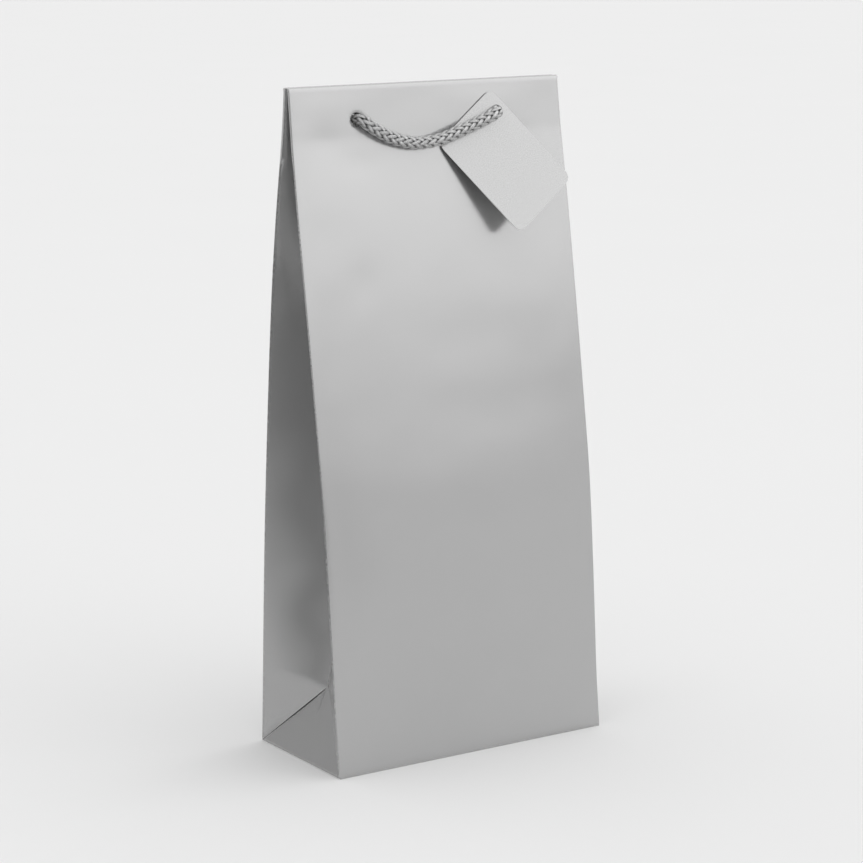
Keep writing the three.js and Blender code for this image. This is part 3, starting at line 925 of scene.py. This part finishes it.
def add_seam_flap():
    """The flap that is glued behind the back panel at its right-hand edge, and bulges with it."""
    start = SEAM_INSET - HALF_WIDTH
    across = np.linspace(start, start + SEAM_WIDTH, 9)
    heights = np.linspace(SEAM_BOTTOM, PANEL_LENGTH - HEM_HEIGHT - SEAM_TO_HEM, 110)
    x, height = (values.ravel() for values in np.meshgrid(across, heights))
    stand_off = bulge("back", height) + crown(x, height) + relief("back", x, height) - SEAM_DEPTH
    points = on_panel("back", x, stand_off, height)
    faces = grid_faces(len(heights), len(across))
    obj = add_sheet("side_seam_flap_sheet", points, faces, PAPER, [WHITE, WHITE])
    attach(obj, "back_panel")
    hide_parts("side_seam_flap")


def hole_rims(side, x, height):
    """The punch presses each hole's rim slightly inwards."""
    pressed = np.zeros_like(x)
    for hole_x, hole_height in holes_of(side):
        distance = np.hypot(x - hole_x, height - hole_height) - HOLE_RADIUS
        pressed -= RIM_PRESS * np.exp(-np.maximum(distance, 0) / RIM_REACH)
    return pressed


# ---- Gussets ----
EDGE_INSET = 0.00028         # of a gusset half's first points from the bag's side
EDGE_DEPTH = 0.0006          # and below the panel's outer face
KNEE_INSET = 0.0007          # of the points where the paper has rolled in behind the panel
KNEE_DEPTH = 0.0009
BEHIND_HEM = 0.0013          # by which it lies deeper behind the turned-in hem
HEM_EDGE_HEIGHTS = (0.334, 0.343)
BELLY = 0.0006
NOTCH_BAND = 0.007           # half the stretch of fine rows around a notch
ROLL_SHARES = (0, 0.12, 0.3, 0.55)   # of the way from a gusset half's edge to its knee
GUSSET_WAVE = (0.0011, 0.038)   # height and length
GUSSET_WAVE_SEED = {"front": 2.5, "back": 6.5}
RIDGE = 0.0007               # of a base triangle, down from its apex
RIDGE_HALF_WIDTH = 0.0016
SAG = 0.0009


def gusset_angle(height):
    """The angle between a panel and its gusset half at a height, with the mouth closed."""
    to_middle = (HALF_DEPTH - height * math.sin(LEAN)) / math.cos(LEAN)
    above = np.arcsin(np.clip(to_middle / HALF_DEPTH, 0, 1))
    return np.where(height < HALF_DEPTH, math.pi / 2 - TRIANGLE_LEAN, above), to_middle


def gusset_grid(side):
    """A gusset half as rows of inward distance and depth behind the panel, and the rows' heights.

    Each row starts at the panel's sprung-out side edge, rolls in behind the hem and runs to the
    crease in the bag's middle plane, or to the base triangle's crease near the floor.
    """
    low, high = HOLE_HEIGHT - NOTCH_BAND, HOLE_HEIGHT + NOTCH_BAND
    heights = spaced([0.0012, 0.006], 0.0012)[:-1] + spaced([0.006, HALF_DEPTH, 0.336], 0.003)[:-1]
    heights += spaced([0.336, low], 0.0012)[:-1] + spaced([low, high], 0.0007)[:-1]
    heights = np.array(heights + spaced([high, PANEL_LENGTH - 0.0003], 0.002))
    angle, to_middle = gusset_angle(heights)
    length = np.minimum(heights, HALF_DEPTH) - 0.00005
    small = np.minimum(1, length / 0.004)[:, None]
    edge = bulge(side, heights)
    behind = KNEE_DEPTH + BEHIND_HEM * smooth_step(heights, *HEM_EDGE_HEIGHTS)
    start = np.stack([np.full_like(heights, EDGE_INSET), EDGE_DEPTH - edge], 1)
    knee = np.stack([np.full_like(heights, KNEE_INSET), behind - edge], 1)
    far = np.stack([length * np.cos(angle), np.minimum(length * np.sin(angle), to_middle - 0.00012)], 1)

    columns = []
    for share in ROLL_SHARES:
        step = share * small
        columns.append(start + (knee - start) * np.concatenate([step ** 1.6, step ** 0.7], 1))
    bent = start + (knee - start) * small
    direction = unit(far - bent)
    square = np.stack([direction[:, 1], -direction[:, 0]], 1)
    belly = BELLY * np.sin(np.pi * np.clip(heights / PANEL_LENGTH, 0, 1)) * small[:, 0]
    rise, wave_length = GUSSET_WAVE
    for share in np.concatenate([np.linspace(0.03, 1, 20)[:-3], np.linspace(0.9, 1, 14)]):
        wave = rise * slow_noise(share * length, heights, wave_length, GUSSET_WAVE_SEED[side])
        lift = (belly + wave * small[:, 0]) * math.sin(math.pi * share)
        columns.append(bent + (far - bent) * share + square * lift[:, None])
    return np.stack(columns, 1), heights, np.hypot(far[:, 0], far[:, 1])


def add_gusset_half(side, mirror):
    """One ruled half of a folded-in side, from the panel's side edge to the crease in the middle."""
    grid, heights, lengths = gusset_grid(side)
    columns = grid.shape[1]
    height = np.repeat(heights, columns)
    inwards, depth = grid[..., 0].ravel(), grid[..., 1].ravel()
    from_start = np.linalg.norm(grid - grid[:, :1], axis=2).ravel()
    faces = grid_faces(len(heights), columns)
    if mirror < 0:
        faces = [tuple(reversed(face)) for face in faces]
    outwards = widening(height) * (1 - smooth_step(inwards, 0, 0.03))
    x = mirror * (HALF_WIDTH + outwards - inwards)
    hole = next(hole for hole in holes_of(side) if hole[0] * mirror > 0)
    x, height, faces, kept = notched(x, height, faces, hole, NOTCH_RADIUS)
    inwards, depth, from_start = inwards[kept], depth[kept], from_start[kept]

    where = "left" if (mirror < 0) == (side == "front") else "right"
    node = f"{where}_gusset_{side}_half"
    hemmed = [0 if height[list(face)].min() > PANEL_LENGTH - HEM_HEIGHT else 1 for face in faces]
    to_crease = np.maximum(np.interp(height, heights, lengths) - np.hypot(inwards, depth), 0)
    # Lightening of the film: wear at the middle crease and mouth, and along the side crease wear together
    # with a painted highlight.
    wear = np.maximum.reduce([
        film_lightening(from_start, *SIDE_WEAR_AND_HIGHLIGHT),
        film_lightening(to_crease, *CREASE_WEAR),
        film_lightening(PANEL_LENGTH - height, *MOUTH_WEAR)])
    points = on_panel(side, x, -depth, height)
    obj = add_sheet(f"{node}_sheet", points, faces, PAPER, [SILVER, WHITE], hemmed, wear)
    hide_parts(node)
    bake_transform(obj)
    to_flat = np.clip((math.pi / 2 - np.arctan2(depth, inwards)) / GUSSET_TRAVEL, 0, 1)
    turn = to_flat * smooth_step(from_start, 0, 0.002 + 1.2 * bulge(side, height))


def notched(x, height, faces, centre, radius):
    """Cuts a round notch: drops the faces inside the circle and moves its edge onto the circle."""
    dx, dh = x - centre[0], height - centre[1]
    distance = np.hypot(dx, dh)
    faces = [face for face in faces if np.mean(distance[list(face)]) > radius]
    scale = np.where((distance < radius * 1.12) & (distance > 0), radius / np.maximum(distance, 1e-9), 1)
    x = np.where(distance < radius * 1.12, centre[0] + dx * scale, x)
    height = np.where(distance < radius * 1.12, centre[1] + dh * scale, height)
    kept = sorted({k for face in faces for k in face})
    renumber = {old: new for new, old in enumerate(kept)}
    faces = [tuple(renumber[k] for k in face) for face in faces]
    return x[kept], height[kept], faces, kept


def add_base_triangle(where):
    """The leaning triangle at a side's foot, with its ridge and a slight sag."""
    mirror = -1 if where == "left" else 1
    ups = spaced([0.0005, 0.0045], 0.001)[:-1] + spaced([0.0045, HALF_DEPTH - 0.0004], 0.002)
    ups = np.array(ups)
    side_shares = np.linspace(0.06, 1, 18)
    shares = np.concatenate([-side_shares[::-1], np.linspace(-0.04, 0.04, 9), side_shares])
    half = HALF_DEPTH - ups - 0.0001
    y = (half[:, None] * shares[None, :]).ravel()
    up = np.repeat(ups, len(shares))
    near_apex = smooth_step(up, 0.4 * HALF_DEPTH, 0.85 * HALF_DEPTH)
    ridge = RIDGE * np.exp(-(y / RIDGE_HALF_WIDTH) ** 2) * near_apex
    sag = -SAG * np.sin(np.pi * np.clip(up / HALF_DEPTH, 0, 1)) * (1 - np.abs(y) / HALF_DEPTH)
    out = ridge + sag - PAPER / 2 - FOOT_ROLL * np.exp(-up / FOOT_ROLL)
    inwards = up * math.sin(TRIANGLE_LEAN) - out * math.cos(TRIANGLE_LEAN)
    z = up * math.cos(TRIANGLE_LEAN) + out * math.sin(TRIANGLE_LEAN)
    points = np.stack([mirror * (HALF_WIDTH - inwards), y, z], 1)
    faces = grid_faces(len(ups), len(shares))
    if where == "left":
        faces = [tuple(reversed(face)) for face in faces]
    to_side = (np.repeat(half, len(shares)) - np.abs(y)) / math.sqrt(2)
    wear = np.maximum(film_lightening(up, *FLOOR_WEAR), film_lightening(to_side, *CREASE_WEAR))
    obj = add_sheet(f"{where}_base_triangle_sheet", points, faces, PAPER, [SILVER, WHITE], wear=wear)
    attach(obj, f"{where}_base_triangle")
    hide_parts(f"{where}_base_triangle")


# ---- Gift tag ----
# Rings between the tag's hole and its outline: the share of the way out, and how much the film is worn
# there.
TAG_RINGS = [(0, 0.3), (0.02, 0), (0.1, 0), (0.25, 0), (0.45, 0), (0.7, 0), (0.9, 0), (0.99, 0), (1, 0.1)]


def tag_outline():
    """The tag's rounded outline, as points along and across it."""
    low, far_along, far_across = TAG_CORNER, TAG_LENGTH - TAG_CORNER, TAG_WIDTH - TAG_CORNER
    centres = [(far_along, far_across), (low, far_across), (low, low), (far_along, low)]
    points = []
    for quarter, (along, across) in enumerate(centres):
        for k in range(9):
            angle = math.pi / 2 * (quarter + k / 8)
            points.append((along + low * math.cos(angle), across + low * math.sin(angle), 0))
    return resampled(np.array(points + points[:1]), 0.0022)[:-1, :2]


def add_tag():
    """A card with rounded corners, hung from the hole near one corner and leaning off the panel."""
    hole = np.array(TAG_HOLE)
    ring = tag_outline() - hole
    circle = unit(ring) * TAG_HOLE_RADIUS
    flat = np.concatenate([circle + (ring - circle) * share for share, _ in TAG_RINGS])
    wear = np.repeat([film_lightened for _, film_lightened in TAG_RINGS], len(ring))
    faces = grid_faces(len(TAG_RINGS), len(ring), closed=True)
    along, across = flat[:, 0], flat[:, 1]
    level = along * math.cos(TAG_TILT)
    x = holes_of("front")[1][0] - across * math.cos(TAG_TURN) + level * math.sin(TAG_TURN)
    height = HOLE_HEIGHT - across * math.sin(TAG_TURN) - level * math.cos(TAG_TURN)
    stand_off = TAG_REST + TAG_CARD / 2 + (TAG_HOLE[0] + along) * math.sin(TAG_TILT)
    points = on_panel("front", x, stand_off, height)
    both_silver = [0] * len(faces)
    obj = add_sheet("gift_tag_card", points, faces, TAG_CARD, [TAG_SILVER, TAG_CORE], both_silver, wear)
    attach(obj, "gift_tag")
    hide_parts("gift_tag")


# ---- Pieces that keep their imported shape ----
def finish_frame_nodes():
    looks = {"base_board": BASE_BOARD}
    looks.update({f"{side}_top_card": REINFORCEMENT for side in ("front", "back")})
    looks.update({f"base_{side}_flap": SILVER for side in ("front", "back", "left", "right")})
    for node, material in looks.items():
        materials = frame["nodes"][node].data.materials
        materials.clear()
        materials.append(material)


# ---- Assembly ----
add_camera()
for panel in ("front", "back"):
    add_handle(panel)
add_studio()
for panel in ("front", "back"):
    add_panel(panel)
    for mirror_sign in (-1, 1):
        add_gusset_half(panel, mirror_sign)
add_seam_flap()
for foot in ("left", "right"):
    add_base_triangle(foot)
add_tag()
finish_frame_nodes()
